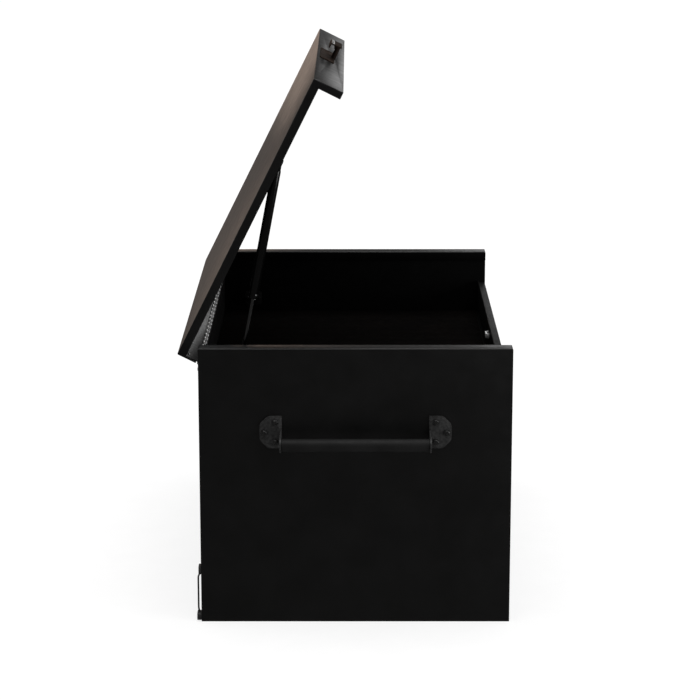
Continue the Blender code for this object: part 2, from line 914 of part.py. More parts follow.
# ---------------------------------------------------------------- back staple
def back_staple():
    """A wire loop held by two blocks, low on the back at the left."""
    for name, foot, head, stand in STAPLE_BLOCKS:
        box(
            f"staple_block_{name}",
            (STAPLE_X - STAPLE_HALF, BACK + GAP, foot),
            (STAPLE_X + STAPLE_HALF, BACK + stand, head),
            "textured_black",
        )
    foot = STAPLE_BLOCKS[1][2] + 4 * GAP
    head = STAPLE_BLOCKS[0][1] - 4 * GAP
    wire = bpy.data.curves.new("staple_wire", "CURVE")
    wire.dimensions = "3D"
    wire.bevel_depth = STAPLE_WIRE
    wire.bevel_resolution = 2
    wire.use_fill_caps = True
    line = wire.splines.new("POLY")
    stand = BACK + STAPLE_STAND
    upper_root, lower_root = STAPLE_ROOTS
    route = [
        (STAPLE_X, BACK + upper_root, head),
        (STAPLE_X, stand, head - STAPLE_BEND),
        (STAPLE_X, stand, foot + STAPLE_BEND),
        (STAPLE_X, BACK + lower_root, foot),
    ]
    line.points.add(len(route) - 1)
    for point, place in zip(line.points, route):
        point.co = (*place, 1)
    holder = bpy.data.objects.new("staple_wire", wire)
    parts.objects.link(holder)
    as_mesh(holder, "staple_wire", "textured_black", parts)


# ---------------------------------------------------------------- assembly
for side, hand in ((-1, "left"), (1, "right")):
    side_casing(side, hand)
    strut(side, hand)
    handle(side, hand)
back_and_base()
till()
striker()
back_staple()
for drawer_name, drawer_foot, drawer_head in DRAWER_FRONTS:
    drawer(drawer_name, drawer_foot, drawer_head)

lid_pieces = lid()
lid_pieces += [*hinge(), *latch(lid_pieces[0])]
pivot("lid_hinge", (0, HINGE_Y, HINGE_Z), -LID_OPEN, lid_pieces)
bpy.context.view_layer.update()
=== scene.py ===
"""Looks for the tool chest: rounded sheet metal, coats, hinge, struts, latch and drawers.

Everything is in metres in the chest's own frame. Pieces of the lid are shaped as it lies
shut, and pieces of a gas strut along +Z from its lower pivot; settle() then puts them where
the frame has them.
"""

import json

from math import atan2, cos, hypot, pi, radians, sin

import bmesh
import bpy
from mathutils import Matrix, Vector


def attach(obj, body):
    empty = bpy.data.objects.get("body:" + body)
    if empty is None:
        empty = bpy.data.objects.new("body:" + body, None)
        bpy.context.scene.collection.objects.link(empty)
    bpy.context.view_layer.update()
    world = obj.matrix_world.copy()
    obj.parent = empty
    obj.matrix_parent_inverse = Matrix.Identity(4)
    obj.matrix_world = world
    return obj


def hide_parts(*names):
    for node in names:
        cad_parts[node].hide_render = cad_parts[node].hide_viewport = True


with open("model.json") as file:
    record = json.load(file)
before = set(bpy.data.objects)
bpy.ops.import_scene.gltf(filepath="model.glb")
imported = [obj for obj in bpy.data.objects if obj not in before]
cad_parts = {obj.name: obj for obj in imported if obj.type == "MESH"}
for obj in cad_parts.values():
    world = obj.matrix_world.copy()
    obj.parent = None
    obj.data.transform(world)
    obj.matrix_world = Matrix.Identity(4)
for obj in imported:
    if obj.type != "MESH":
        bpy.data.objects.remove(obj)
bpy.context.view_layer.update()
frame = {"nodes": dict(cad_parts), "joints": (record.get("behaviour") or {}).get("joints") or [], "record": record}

scene = bpy.context.scene
scene.view_settings.view_transform = "Standard"
JOINTS = {joint["name"]: joint for joint in frame["joints"]}

# ------------------------------------------------------------------ places in the frame
LID_AXIS = Vector(JOINTS["lid_hinge"]["pos_m"])
LID_OPEN = radians(JOINTS["lid_hinge"]["range_deg"][1])
HERE = Matrix.Identity(4)
LID = (
    Matrix.Translation(LID_AXIS)
    @ Matrix.Rotation(-LID_OPEN, 4, "X")
    @ Matrix.Translation(-LID_AXIS)
)
HINGE_Y, HINGE_Z = JOINTS["lid_hinge"]["pos_m"][1:]
AXES = "XYZ"
# places nearer to each other than this are one
SAME = 1e-5


def strut_place(hand):
    """The place of a strut that is shaped along +Z from its lower pivot."""
    low = Vector(JOINTS[f"strut_pivot_{hand}"]["pos_m"])
    line = Vector(JOINTS[f"strut_slide_{hand}"]["axis"])
    return Matrix.Translation(low) @ Matrix.Rotation(atan2(-line.y, line.z), 4, "X")


# ------------------------------------------------------------------ modelling tools
def clear_selection():
    """Goes back to object mode with nothing selected."""
    if bpy.context.object and bpy.context.object.mode != "OBJECT":
        bpy.ops.object.mode_set(mode="OBJECT")
    bpy.ops.object.select_all(action="DESELECT")


def added(name):
    """Names the object that an operator has just made."""
    piece = bpy.context.object
    piece.name = name
    piece.data.name = name
    return piece


def apply_place(piece):
    """Moves a piece's place, turn and scale into its mesh."""
    clear_selection()
    bpy.context.view_layer.objects.active = piece
    piece.select_set(True)
    bpy.ops.object.transform_apply(location=True, rotation=True, scale=True)


def block(name, low, high):
    """A cube primitive stretched between two corners."""
    low, high = Vector(low), Vector(high)
    clear_selection()
    bpy.ops.mesh.primitive_cube_add(size=1, location=(low + high) / 2)
    piece = added(name)
    piece.scale = high - low
    apply_place(piece)
    return piece


FLAT_TURNS = ((0, pi / 2, 0), (pi / 2, 0, 0), (0, 0, 0))


def sheet(name, low, high):
    """A plane primitive between two corners that share one coordinate."""
    low, high = Vector(low), Vector(high)
    size = high - low
    flat = min(range(3), key=lambda i: abs(size[i]))
    clear_selection()
    bpy.ops.mesh.primitive_plane_add(size=1, location=(low + high) / 2, rotation=FLAT_TURNS[flat])
    piece = added(name)
    piece.scale = [(size.z, size.y, 1), (size.x, size.z, 1), (size.x, size.y, 1)][flat]
    apply_place(piece)
    return piece


ROUND_TURNS = {"X": (0, pi / 2, 0), "Y": (-pi / 2, 0, 0), "Z": (0, 0, 0)}


def rod(name, radius, start, end, sides=32):
    """A cylinder primitive from start to end, which differ along one axis."""
    start, end = Vector(start), Vector(end)
    size = end - start
    axis = max(range(3), key=lambda i: abs(size[i]))
    clear_selection()
    bpy.ops.mesh.primitive_cylinder_add(
        vertices=sides,
        radius=radius,
        depth=abs(size[axis]),
        location=(start + end) / 2,
        rotation=ROUND_TURNS[AXES[axis]],
    )
    piece = added(name)
    apply_place(piece)
    return piece


def pick(piece, kind, test):
    """Enters edit mode with only the faces or edges that pass the test selected."""
    clear_selection()
    bpy.context.view_layer.objects.active = piece
    piece.select_set(True)
    bpy.ops.object.mode_set(mode="EDIT")
    bpy.ops.mesh.select_mode(type=kind)
    bpy.ops.mesh.select_all(action="DESELECT")
    shape = bmesh.from_edit_mesh(piece.data)
    for part in shape.faces if kind == "FACE" else shape.edges:
        if test(part):
            part.select_set(True)
    shape.select_flush_mode()
    bmesh.update_edit_mesh(piece.data)


def done(piece):
    """Leaves edit mode."""
    bpy.ops.object.mode_set(mode="OBJECT")
    return piece


def facing(*direction):
    """A test for faces that look in a direction."""
    direction = Vector(direction)
    nearly_straight = 0.9
    return lambda face: face.normal.dot(direction) > nearly_straight


def at(axis, value):
    """A test for edges that lie wholly at one value of an axis."""
    return lambda edge: all(abs(vertex.co[axis] - value) < SAME for vertex in edge.verts)


def extrude(*move):
    """Extrudes what is selected."""
    bpy.ops.mesh.extrude_region_move(TRANSFORM_OT_translate={"value": move})


def resize(scale, centre):
    """Scales what is selected about a centre."""
    bpy.ops.transform.resize(value=scale, center_override=centre)


def slice_at(piece, axis, value):
    """Cuts a line of edges all round the piece."""
    pick(piece, "FACE", lambda face: True)
    point, normal = Vector(), Vector()
    point[axis] = value
    normal[axis] = 1
    bpy.ops.mesh.bisect(plane_co=point, plane_no=normal)
    done(piece)


def apply_modifier(piece, kind, **settings):
    """Puts a modifier on a piece and applies it at once."""
    change = piece.modifiers.new(kind.lower(), kind)
    for name, value in settings.items():
        setattr(change, name, value)
    clear_selection()
    bpy.context.view_layer.objects.active = piece
    bpy.ops.object.modifier_apply(modifier=change.name)
    return piece


def soften(piece, width, segments=2, angle=30):
    """Rounds the edges that are sharper than the angle."""
    return apply_modifier(
        piece,
        "BEVEL",
        width=width,
        segments=segments,
        limit_method="ANGLE",
        angle_limit=radians(angle),
        use_clamp_overlap=True,
        harden_normals=False,
    )


def thicken(piece, thickness, offset):
    """Gives a sheet its thickness, along its normals (1), against them (-1) or half each way (0)."""
    return apply_modifier(
        piece, "SOLIDIFY", thickness=thickness, offset=offset, use_even_offset=True
    )


def cut(piece, tool, operation="DIFFERENCE"):
    """Cuts a piece with a tool, or adds or keeps what they share, and removes the tool."""
    apply_modifier(piece, "BOOLEAN", object=tool, operation=operation, solver="EXACT")
    bpy.data.objects.remove(tool, do_unlink=True)
    return piece


def joined(name, pieces):
    """Makes several pieces into one object, without merging their shells."""
    clear_selection()
    for piece in pieces:
        piece.select_set(True)
    bpy.context.view_layer.objects.active = pieces[0]
    bpy.ops.object.join()
    return added(name)


# edges that turn by less than this many degrees are shaded smooth
SMOOTH_BELOW = 35


def settle(piece, body, material, place=HERE, replaces=()):
    """Smooths a finished piece, gives it its coat, puts it in place and hangs it on its body."""
    piece.data.transform(place)
    clear_selection()
    bpy.context.view_layer.objects.active = piece
    piece.select_set(True)
    bpy.ops.object.shade_smooth_by_angle(angle=radians(SMOOTH_BELOW))
    piece.data.materials.clear()
    piece.data.materials.append(MATERIALS[material])
    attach(piece, body)
    if replaces:
        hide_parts(*replaces)
    return piece


def recoat(piece, material, test):
    """Gives a second coat to the faces whose middle passes the test; here it paints shade inside the chest and
    highlights on the hinge's knuckles.
    """
    piece.data.materials.append(MATERIALS[material])
    for face in piece.data.polygons:
        if test(face.center):
            face.material_index = 1


# ------------------------------------------------------------------ coats and metals
# a noise keeps mostly between these values, and its colours change between these
NOISE_LOW, NOISE_HIGH = 0.3, 0.7
RAMP_LOW, RAMP_HIGH = 0.35, 0.68
# how much finer the marks in the roughness are than the clouds in the colour
MARKS_TO_CLOUDS = 3.3


def node(tree, kind, **settings):
    """A new node in a material's tree."""
    made = tree.nodes.new(kind)
    for name, value in settings.items():
        setattr(made, name, value)
    return made


def noise(tree, place, scale, detail, stretch):
    """A noise on the piece's own coordinates."""
    mapping = node(tree, "ShaderNodeMapping")
    mapping.inputs["Scale"].default_value = stretch
    texture = node(tree, "ShaderNodeTexNoise")
    texture.inputs["Scale"].default_value = scale
    texture.inputs["Detail"].default_value = detail
    tree.links.new(place.outputs["Object"], mapping.inputs["Vector"])
    tree.links.new(mapping.outputs["Vector"], texture.inputs["Vector"])
    return texture.outputs["Fac"]


def spread(tree, value, low, high):
    """Maps the middle of a noise to the range from low to high."""
    ranged = node(tree, "ShaderNodeMapRange")
    ranged.inputs["From Min"].default_value = NOISE_LOW
    ranged.inputs["From Max"].default_value = NOISE_HIGH
    ranged.inputs["To Min"].default_value = low
    ranged.inputs["To Max"].default_value = high
    tree.links.new(value, ranged.inputs["Value"])
    return ranged.outputs["Result"]


def blend_colours(tree, factor, dark, light):
    """A colour that goes from dark to light with the factor."""
    ramp = node(tree, "ShaderNodeValToRGB")
    ramp.color_ramp.elements[0].position = RAMP_LOW
    ramp.color_ramp.elements[0].color = (*dark, 1)
    ramp.color_ramp.elements[1].position = RAMP_HIGH
    ramp.color_ramp.elements[1].color = (*light, 1)
    tree.links.new(factor, ramp.inputs["Fac"])
    return ramp.outputs["Color"]


def coat(
    name,
    dark,
    light,
    rough,
    metallic=0.0,
    grain=(420.0, 0.12, 0.0002),
    cloud=14.0,
    stretch=(1, 1, 1),
    specular=0.5,
):
    """A surface with cloudy colour and roughness, and a fine grain standing in it.

    rough is the lowest and highest roughness. grain is its noise scale, strength and depth.
    """
    material = bpy.data.materials.new(name)
    material.use_nodes = True
    tree = material.node_tree
    shader = tree.nodes["Principled BSDF"]
    shader.inputs["Metallic"].default_value = metallic
    shader.inputs["Specular IOR Level"].default_value = specular
    place = node(tree, "ShaderNodeTexCoord")
    clouds = noise(tree, place, cloud, detail=4.0, stretch=stretch)
    tree.links.new(blend_colours(tree, clouds, dark, light), shader.inputs["Base Color"])
    marks = noise(tree, place, cloud * MARKS_TO_CLOUDS, detail=5.0, stretch=stretch)
    tree.links.new(spread(tree, marks, *rough), shader.inputs["Roughness"])
    scale, strength, depth = grain
    bump = node(tree, "ShaderNodeBump")
    bump.inputs["Strength"].default_value = strength
    bump.inputs["Distance"].default_value = depth
    grains = noise(tree, place, scale, detail=2.0, stretch=stretch)
    tree.links.new(grains, bump.inputs["Height"])
    tree.links.new(bump.outputs["Normal"], shader.inputs["Normal"])
    return material


def grey(value):
    """A colour with three equal parts."""
    return (value, value, value)


MATERIALS = {
    "black_paint": coat(
        "black_powder_coat",
        grey(0.0024),
        grey(0.0036),
        (0.30, 0.38),
        grain=(260, 0.06, 0.0001),
        specular=0.35,
    ),
    "rail_paint": coat(
        "satin_black_coat",
        grey(0.0022),
        grey(0.0034),
        (0.44, 0.54),
        grain=(320, 0.08, 0.0001),
        specular=0.1,
    ),
    # painted shade: this inside coat is several times darker than the outer black paint and stands in for the
    # shade inside the chest, under the lid and in the drawers
    "black_inside": coat("inner_black_coat", grey(0.0003), grey(0.0006), (0.50, 0.65), specular=0.05),
    "textured_black": coat(
        "wrinkle_black_coat",
        grey(0.011),
        grey(0.027),
        (0.42, 0.62),
        grain=(620, 0.7, 0.0006),
        cloud=220.0,
        specular=0.25,
    ),
    "bolt_black": coat("blacked_bolt", grey(0.050), grey(0.080), (0.24, 0.32), metallic=0.9, cloud=120.0),
    "latch_plastic": coat(
        "moulded_black",
        (0.0140, 0.0092, 0.0070),
        (0.0200, 0.0138, 0.0108),
        (0.62, 0.78),
        grain=(900, 0.3, 0.0003),
        specular=0.03,
    ),
    "black_tube": coat(
        "tube_black_coat",
        grey(0.0074),
        grey(0.0100),
        (0.52, 0.64),
        grain=(500, 0.2, 0.0002),
        specular=0.10,
    ),
    "zinc": coat(
        "zinc_plate", (0.42, 0.43, 0.44), (0.62, 0.62, 0.61), (0.22, 0.38), metallic=1.0, cloud=60.0
    ),
    "bright_zinc": coat("tumbled_zinc", grey(0.72), grey(0.86), (0.50, 0.62), metallic=1.0, cloud=90.0),
    "dark_steel": coat("blackened_steel", grey(0.060), grey(0.110), (0.30, 0.45), metallic=1.0, cloud=80.0),
    "strut_black": coat(
        "strut_enamel", grey(0.0007), grey(0.0012), (0.14, 0.22), grain=(300, 0.05, 0.0001), specular=0.3
    ),
    "rod_chrome": coat(
        "nitrided_rod",
        grey(0.10),
        grey(0.16),
        (0.12, 0.22),
        metallic=1.0,
        cloud=30.0,
        stretch=(1, 1, 0.05),
    ),
    # black rubber, made darker still: partly the mat's own colour, partly painted shade for the till floor deep
    # inside the chest
    "mat_rubber": coat(
        "ribbed_mat",
        (0.0008, 0.0005, 0.0004),
        (0.0014, 0.0009, 0.0007),
        (0.75, 0.90),
        grain=(700, 0.4, 0.0004),
        specular=0.03,
    ),
    "pull_metal": coat(
        "anodised_pull",
        grey(0.020),
        grey(0.034),
        (0.28, 0.40),
        metallic=1.0,
        cloud=50.0,
        stretch=(0.04, 1, 1),
    ),
}
# most coats lie in the slot of their own name
SLOTS = {name: name for name in MATERIALS}
SLOTS.update(
    rail_paint="black_paint",
    bolt_black="dark_steel",
    bright_zinc="zinc",
    latch_plastic="textured_black",
    pull_metal="dark_steel",
)

node_slots = {row["node"]: row["material_slot"] for row in frame["record"]["subparts"]}
for name, piece in frame["nodes"].items():
    piece.data.materials.clear()
    piece.data.materials.append(MATERIALS[node_slots[name]])

# ------------------------------------------------------------------ sheet metal sizes
SHEET = 0.0015
GAP = 0.0003
# half widths: over the side panels, at their flanges' turned edges, inside the till's walls
OUTER, INNER, WALL = 0.507, 0.4725, 0.4743
FRONT, BACK, TOP = -0.305, 0.305, 0.556
# what is left inside the skins, the back, the lid's top and the till's walls
SKIN_INSIDE = OUTER - SHEET - GAP
BACK_INSIDE = BACK - SHEET - GAP
UNDER_TOP = TOP - SHEET - GAP
BETWEEN_WALLS = WALL - GAP
# cutting blocks with these half widths pass right through the chest and through the lid
PAST_CHEST, PAST_LID = 0.6, 0.5
SIDES = ((-1, "left"), (1, "right"))


def spot(axis, along, pair):
    """A place given by its distance along one axis and its other two coordinates."""
    place = list(pair)
    place.insert(AXES.index(axis), along)
    return Vector(place)


def outward(piece):
    """Turns every face of a closed piece outward."""
    pick(piece, "FACE", lambda face: True)
    bpy.ops.mesh.normals_make_consistent(inside=False)
    return done(piece)


# a strip starts as a sheet of this width, whose second edge is then drawn along the route
SEED = 0.0005


def strip(name, axis, ends, route, lay=1, thickness=SHEET, bend=0.0018, edge=0.0003):
    """A sheet along an axis, folded through the route in the other two coordinates.

    lay puts the thickness left of the route (1), right of it (-1) or half on each side (0).
    """
    across = [i for i in range(3) if i != AXES.index(axis)]
    seed = (route[0][0] + SEED, route[0][1])
    piece = sheet(name, spot(axis, ends[0], route[0]), spot(axis, ends[1], seed))
    pick(piece, "EDGE", at(across[0], seed[0]))
    for here, there in zip([seed, *route[1:]], route[1:]):
        move = spot(axis, 0, (there[0] - here[0], there[1] - here[1]))
        if here is seed:
            bpy.ops.transform.translate(value=move)
        else:
            extrude(*move)
    done(piece)

    def on_fold(edge):
        folds = [spot(axis, 0, fold) for fold in route[1:-1]]
        return any(
            all(abs(vertex.co[i] - fold[i]) < SAME for vertex in edge.verts for i in across)
            for fold in folds
        )

    if bend:
        pick(piece, "EDGE", on_fold)
        bpy.ops.mesh.bevel(offset=bend, segments=4, profile=0.5)
        done(piece)
    thicken(piece, thickness, -lay if axis == "Z" else lay)
    outward(piece)
    return soften(piece, edge) if edge else piece


def above(height):
    return lambda place: place.z > height


def below(height):
    return lambda place: place.z < height


def rounded_block(name, low, high, axis, radius, segments=5, only=None):
    """A block whose edges along an axis are rounded, all of them or only those chosen."""
    piece = block(name, low, high)
    along = AXES.index(axis)

    def wanted(edge):
        first, last = edge.verts
        return abs(first.co[along] - last.co[along]) > SAME and (only is None or only(first.co))

    pick(piece, "EDGE", wanted)
    bpy.ops.mesh.bevel(offset=radius, segments=segments)
    return done(piece)


# the part of a head's height that its dome takes up
DOME = 0.7


def domed(name, radius, foot, tip, sides=16):
    """A round head standing from foot to tip."""
    piece = rod(name, radius, foot, tip, sides)
    axis = max(range(3), key=lambda i: abs(tip[i] - foot[i]))
    pick(piece, "EDGE", at(axis, tip[axis]))
    bpy.ops.mesh.bevel(offset=DOME * abs(tip[axis] - foot[axis]), segments=3)
    return done(piece)


def heads(name, places, radius, rise):
    """Domed heads at several places, all standing the same way."""
    rise = Vector(rise)
    made = []
    for index, place in enumerate(places):
        foot = Vector(place)
        made.append(domed(f"{name}_{index}", radius, foot, foot + rise))
    return joined(name, made)


def wire(name, radius, route, bend, sides=3):
    """A round wire bent through the route's points."""
    clear_selection()
    bpy.ops.mesh.primitive_plane_add(size=0.001, location=route[0])
    piece = added(name)
    apply_place(piece)
    pick(piece, "FACE", lambda face: True)
    bpy.ops.mesh.select_mode(type="VERT")
    bpy.ops.mesh.merge(type="CENTER")
    for here, there in zip(route, route[1:]):
        extrude(*(Vector(there) - Vector(here)))
    bpy.ops.mesh.select_all(action="SELECT")
    bpy.ops.mesh.bevel(offset=bend, segments=5, affect="VERTICES")
    done(piece)
    bpy.ops.object.convert(target="CURVE")
    piece = bpy.context.object
    piece.data.bevel_depth = radius
    piece.data.bevel_resolution = sides
    piece.data.use_fill_caps = True
    bpy.ops.object.convert(target="MESH")
    piece = added(name)
    pick(piece, "FACE", lambda face: True)
    bpy.ops.mesh.remove_doubles(threshold=SAME)
    bpy.ops.mesh.normals_make_consistent(inside=False)
    return done(piece)


# ------------------------------------------------------------------ casing
FLANGE_DROP = 0.020
PANEL_CORNER = 0.003
HANDLE_Z = 0.390
# each bolt's distance from the chest's middle, and its height over the handle plate's middle
BOLT_PLACES = ((0.1565, 0.020), (0.1565, -0.020), (0.178, -0.001))
BOLT_HOLE = 0.0033
OPENING_FOOT, OPENING_HEAD = 0.500, 0.600
OPENING_CORNER = 0.004
HEM_SHEET = 0.0010
HEM_Y = BACK - SHEET - 0.0001
HEM_HEAD = OPENING_FOOT - 0.0005
TOE_Y, TOE_HEIGHT = -0.3025, 0.030
BASE_BACK = 0.303


def side_panel(side, hand):
    """The outer skin, its top flange and the flange's turned-down edge."""
    panel = strip(
        f"side_panel_{hand}_skin",
        "Y",
        (FRONT, BACK),
        [(side * OUTER, 0), (side * OUTER, TOP), (side * INNER, TOP), (side * INNER, TOP - FLANGE_DROP)],
        side,
    )
    outline = rounded_block(
        "outline", (-PAST_CHEST, FRONT, -0.05), (PAST_CHEST, BACK, TOP), "X", PANEL_CORNER, 4, above(0)
    )
    cut(panel, outline, "INTERSECT")
    reach = Vector((0.01, 0, 0))
    for along, rise in BOLT_PLACES:
        for end in (-1, 1):
            place = Vector((side * OUTER, end * along, HANDLE_Z + rise))
            cut(panel, rod("bolt_hole", BOLT_HOLE, place - reach, place + reach, 20))
    settle(panel, "chest", "black_paint", replaces=[f"side_panel_{hand}"])
    # painted shade: the flange's turned-down edge, inside the chest, takes the darker inside coat
    recoat(panel, "black_inside", lambda place: abs(place.x) < INNER + SHEET and place.z < TOP - SHEET)


def inner_wall(side, hand):
    """The till's side wall, folded outward into the post beside the drawers."""
    face = FRONT + GAP
    wall = strip(
        f"inner_wall_{hand}_fold",
        "Z",
        (0.0, UNDER_TOP - GAP),
        [(side * SKIN_INSIDE, face), (side * WALL, face), (side * WALL, BACK_INSIDE)],
        -side,
    )
    settle(wall, "chest", "black_inside", replaces=[f"inner_wall_{hand}"])


def back_and_base():
    """The back with its hemmed cut-out for the lid, and the folded base."""
    back = block("back_panel_sheet", (-SKIN_INSIDE, BACK - SHEET, 0), (SKIN_INSIDE, BACK, UNDER_TOP))
    opening = rounded_block(
        "lid_cut_out",
        (-WALL, BACK - 0.02, OPENING_FOOT),
        (WALL, BACK + 0.02, OPENING_HEAD),
        "Y",
        OPENING_CORNER,
        5,
        below(TOP),
    )
    cut(back, opening)
    soften(back, 0.0003)
    hem_half = WALL - 0.006
    hem = strip(
        "back_hem",
        "X",
        (-hem_half, hem_half),
        [(HEM_Y, OPENING_FOOT - 0.016), (HEM_Y, HEM_HEAD), (BACK - SHEET + 0.0008, HEM_HEAD)],
        1,
        HEM_SHEET,
        bend=0.0,
    )
    back = joined("back_panel_sheet", [back, hem])
    settle(back, "chest", "black_paint", replaces=["back_panel"])
    base = strip(
        "base_fold",
        "X",
        (-BETWEEN_WALLS, BETWEEN_WALLS),
        [(TOE_Y, TOE_HEIGHT), (TOE_Y, 0), (BASE_BACK, 0)],
        1,
        bend=0.0025,
    )
    settle(base, "chest", "black_paint", replaces=["base_panel"])


# ------------------------------------------------------------------ till
TRAY_FRONT, TRAY_FLOOR, TRAY_EDGE = -0.2869, 0.4115, 0.421
MAT_RIBS = 79
MAT_HALF, MAT_DEPTH = 0.4712, 0.5835
MAT_PLACE = (0, 0.00875, 0.4148)
MAT_RIB, MAT_FOOT = 0.0012, 0.0014
RAIL_FRONT, RAIL_HEM, RAIL_BACK = -0.3037, -0.2910, -0.2875
RAIL_FOOT, RAIL_LEDGE, RAIL_TOP = 0.402, 0.4835, 0.4870
STRIKER_HALF = 0.0125
STRIKER_FOOT, STRIKER_HEAD = 0.462, 0.472
STRIKER_ROOT, STRIKER_BRIDGE = -0.2871, -0.2810
STRIKER_SHEET = 0.003


def till():
    """The till's tray with its mat, the rail across its front and the striker."""
    tray = strip(
        "till_tray",
        "X",
        (-BETWEEN_WALLS, BETWEEN_WALLS),
        [
            (TRAY_FRONT, TRAY_EDGE),
            (TRAY_FRONT, TRAY_FLOOR),
            (BACK_INSIDE, TRAY_FLOOR),
            (BACK_INSIDE, TRAY_EDGE),
        ],
        1,
    )
    settle(tray, "chest", "black_inside", replaces=["till_floor"])
    till_mat()

    rail = strip(
        "front_rail_fold",
        "X",
        (-BETWEEN_WALLS, BETWEEN_WALLS),
        [
            (RAIL_FRONT, RAIL_FOOT),
            (RAIL_FRONT, RAIL_LEDGE),
            (RAIL_HEM, RAIL_LEDGE),
            (RAIL_HEM, RAIL_TOP),
            (RAIL_BACK, RAIL_TOP),
            (RAIL_BACK, RAIL_FOOT),
        ],
        -1,
        bend=0.0012,
        edge=0.0002,
    )
    settle(rail, "chest", "rail_paint", replaces=["front_top_rail"])
    # painted shade: the rail's back face, which looks into the chest, takes the darker inside coat
    behind, under = RAIL_BACK - 0.0020, RAIL_TOP - 0.0012
    recoat(rail, "black_inside", lambda place: place.y > behind and place.z < under)

    strap = strip(
        "striker_strap",
        "Z",
        (STRIKER_FOOT, STRIKER_HEAD),
        [
            (-STRIKER_HALF, STRIKER_ROOT),
            (-STRIKER_HALF, STRIKER_BRIDGE),
            (STRIKER_HALF, STRIKER_BRIDGE),
            (STRIKER_HALF, STRIKER_ROOT),
        ],
        0,
        STRIKER_SHEET,
        bend=0.0022,
    )
    settle(strap, "chest", "bright_zinc", replaces=["striker"])


def till_mat():
    """A mat of ribs that run from front to back, with a groove between each two."""
    rows = 2 * MAT_RIBS - 1
    clear_selection()
    bpy.ops.mesh.primitive_grid_add(x_subdivisions=rows, y_subdivisions=1, size=1)
    mat = added("till_mat")
    mat.scale = (2 * MAT_HALF, MAT_DEPTH, 1)
    mat.location = MAT_PLACE
    apply_place(mat)
    pitch = 2 * MAT_HALF / rows

    def on_rib(face):
        row = round((face.calc_center_median().x + MAT_HALF) / pitch - 0.5)
        return row % 2 == 0

    pick(mat, "FACE", on_rib)
    extrude(0, 0, MAT_RIB)
    bpy.ops.mesh.select_all(action="DESELECT")
    done(mat)
    pick(mat, "EDGE", lambda edge: edge.is_boundary)
    extrude(0, 0, -MAT_FOOT)
    bpy.ops.mesh.edge_face_add()
    done(mat)
    outward(mat)
    soften(mat, 0.0003, 1)
    settle(mat, "chest", "mat_rubber", replaces=["till_liner"])


# ------------------------------------------------------------------ hinge
HINGE_HALF = 0.460
KNUCKLES = 53
LEAF = 0.0012
# from the hinge line to the middle of a rolled leaf
KNUCKLE_RADIUS = 0.0025
PIN_RADIUS = 0.0016
LOWER_FOOT, UPPER_HEAD = 0.462, 0.550
LOWER_RIVETS_Z, UPPER_RIVETS_Z = 0.476, 0.534
RIVETS = 10
FIRST_RIVET, RIVET_STEP = -0.4356, 0.0968
RIVET_RADIUS, RIVET_RISE = 0.0030, 0.0016
# how far before and behind the hinge line a knuckle's gap is cut, and how far up and down
GAP_FRONT, GAP_REAR = 0.299, 0.313
GAP_FOOT, GAP_HEAD = 0.498, 0.512


def roll(start, end, count=12):
    """Points round the hinge line, with angles in degrees from +Y towards +Z."""
    turns = [radians(start + (end - start) * i / count) for i in range(count + 1)]
    return [
        (HINGE_Y + KNUCKLE_RADIUS * cos(turn), HINGE_Z + KNUCKLE_RADIUS * sin(turn)) for turn in turns
    ]


def hinge_leaf(name, route, first_gap, foot, head):
    """A leaf rolled along the route, open from foot to head at every second knuckle."""
    leaf = strip(name, "X", (-HINGE_HALF, HINGE_HALF), route, 0, LEAF, bend=0, edge=0)
    pitch = 2 * HINGE_HALF / KNUCKLES
    gaps = []
    for index in range(first_gap, KNUCKLES, 2):
        start = -HINGE_HALF + index * pitch
        low = (start - GAP, GAP_FRONT, foot)
        high = (start + pitch + GAP, GAP_REAR, head)
        gaps.append(block("knuckle_gap", low, high))
    cut(leaf, joined("knuckle_gaps", gaps))
    return soften(leaf, 0.00025, 1, 50)


def hinge():
    """Two rolled leaves with their rivets, and the pin."""
    outside = BACK + GAP + LEAF / 2
    lower = hinge_leaf(
        "hinge_lower_roll",
        [
            (outside, LOWER_FOOT),
            (outside, HINGE_Z - 0.0065),
            (HINGE_Y + KNUCKLE_RADIUS, HINGE_Z - 0.003),
            *roll(0, 260),
        ],
        1,
        HINGE_Z - 0.0053,
        GAP_HEAD,
    )
    settle(lower, "chest", "dark_steel", replaces=["hinge_leaf_lower"])
    # painted highlight: the tops of the lower leaf's knuckles take bright bare zinc so they show as a row of
    # bright dots along the hinge
    recoat(lower, "bright_zinc", above(HINGE_Z - 0.0035))
    inside = LID_BACK - SHEET - GAP - LEAF / 2
    upper = hinge_leaf(
        "hinge_upper_roll",
        [
            (inside, UPPER_HEAD),
            (inside, HINGE_Z + 0.009),
            (HINGE_Y - KNUCKLE_RADIUS, HINGE_Z + 0.0045),
            *roll(180, 440),
        ],
        0,
        GAP_FOOT,
        HINGE_Z + 0.0066,
    )
    settle(upper, "lid", "dark_steel", place=LID, replaces=["hinge_leaf_upper"])
    left, right = (-HINGE_HALF, HINGE_Y, HINGE_Z), (HINGE_HALF, HINGE_Y, HINGE_Z)
    pin = rod("hinge_pin_bar", PIN_RADIUS, left, right, 20)
    soften(pin, 0.0004)
    settle(pin, "chest", "zinc", replaces=["hinge_pin"])
    columns = [FIRST_RIVET + RIVET_STEP * i for i in range(RIVETS)]
    places = [(x, outside + 0.0005, LOWER_RIVETS_Z) for x in columns]
    rivets = heads("hinge_rivets_lower", places, RIVET_RADIUS, (0, RIVET_RISE, 0))
    settle(rivets, "chest", "dark_steel")
    places = [(x, inside - 0.0005, UPPER_RIVETS_Z) for x in columns]
    rivets = heads("hinge_rivets_upper", places, RIVET_RADIUS, (0, -RIVET_RISE, 0))
    settle(rivets, "lid", "zinc", place=LID)


# ------------------------------------------------------------------ lid
LID_HALF = 0.470
LID_BACK = 0.297
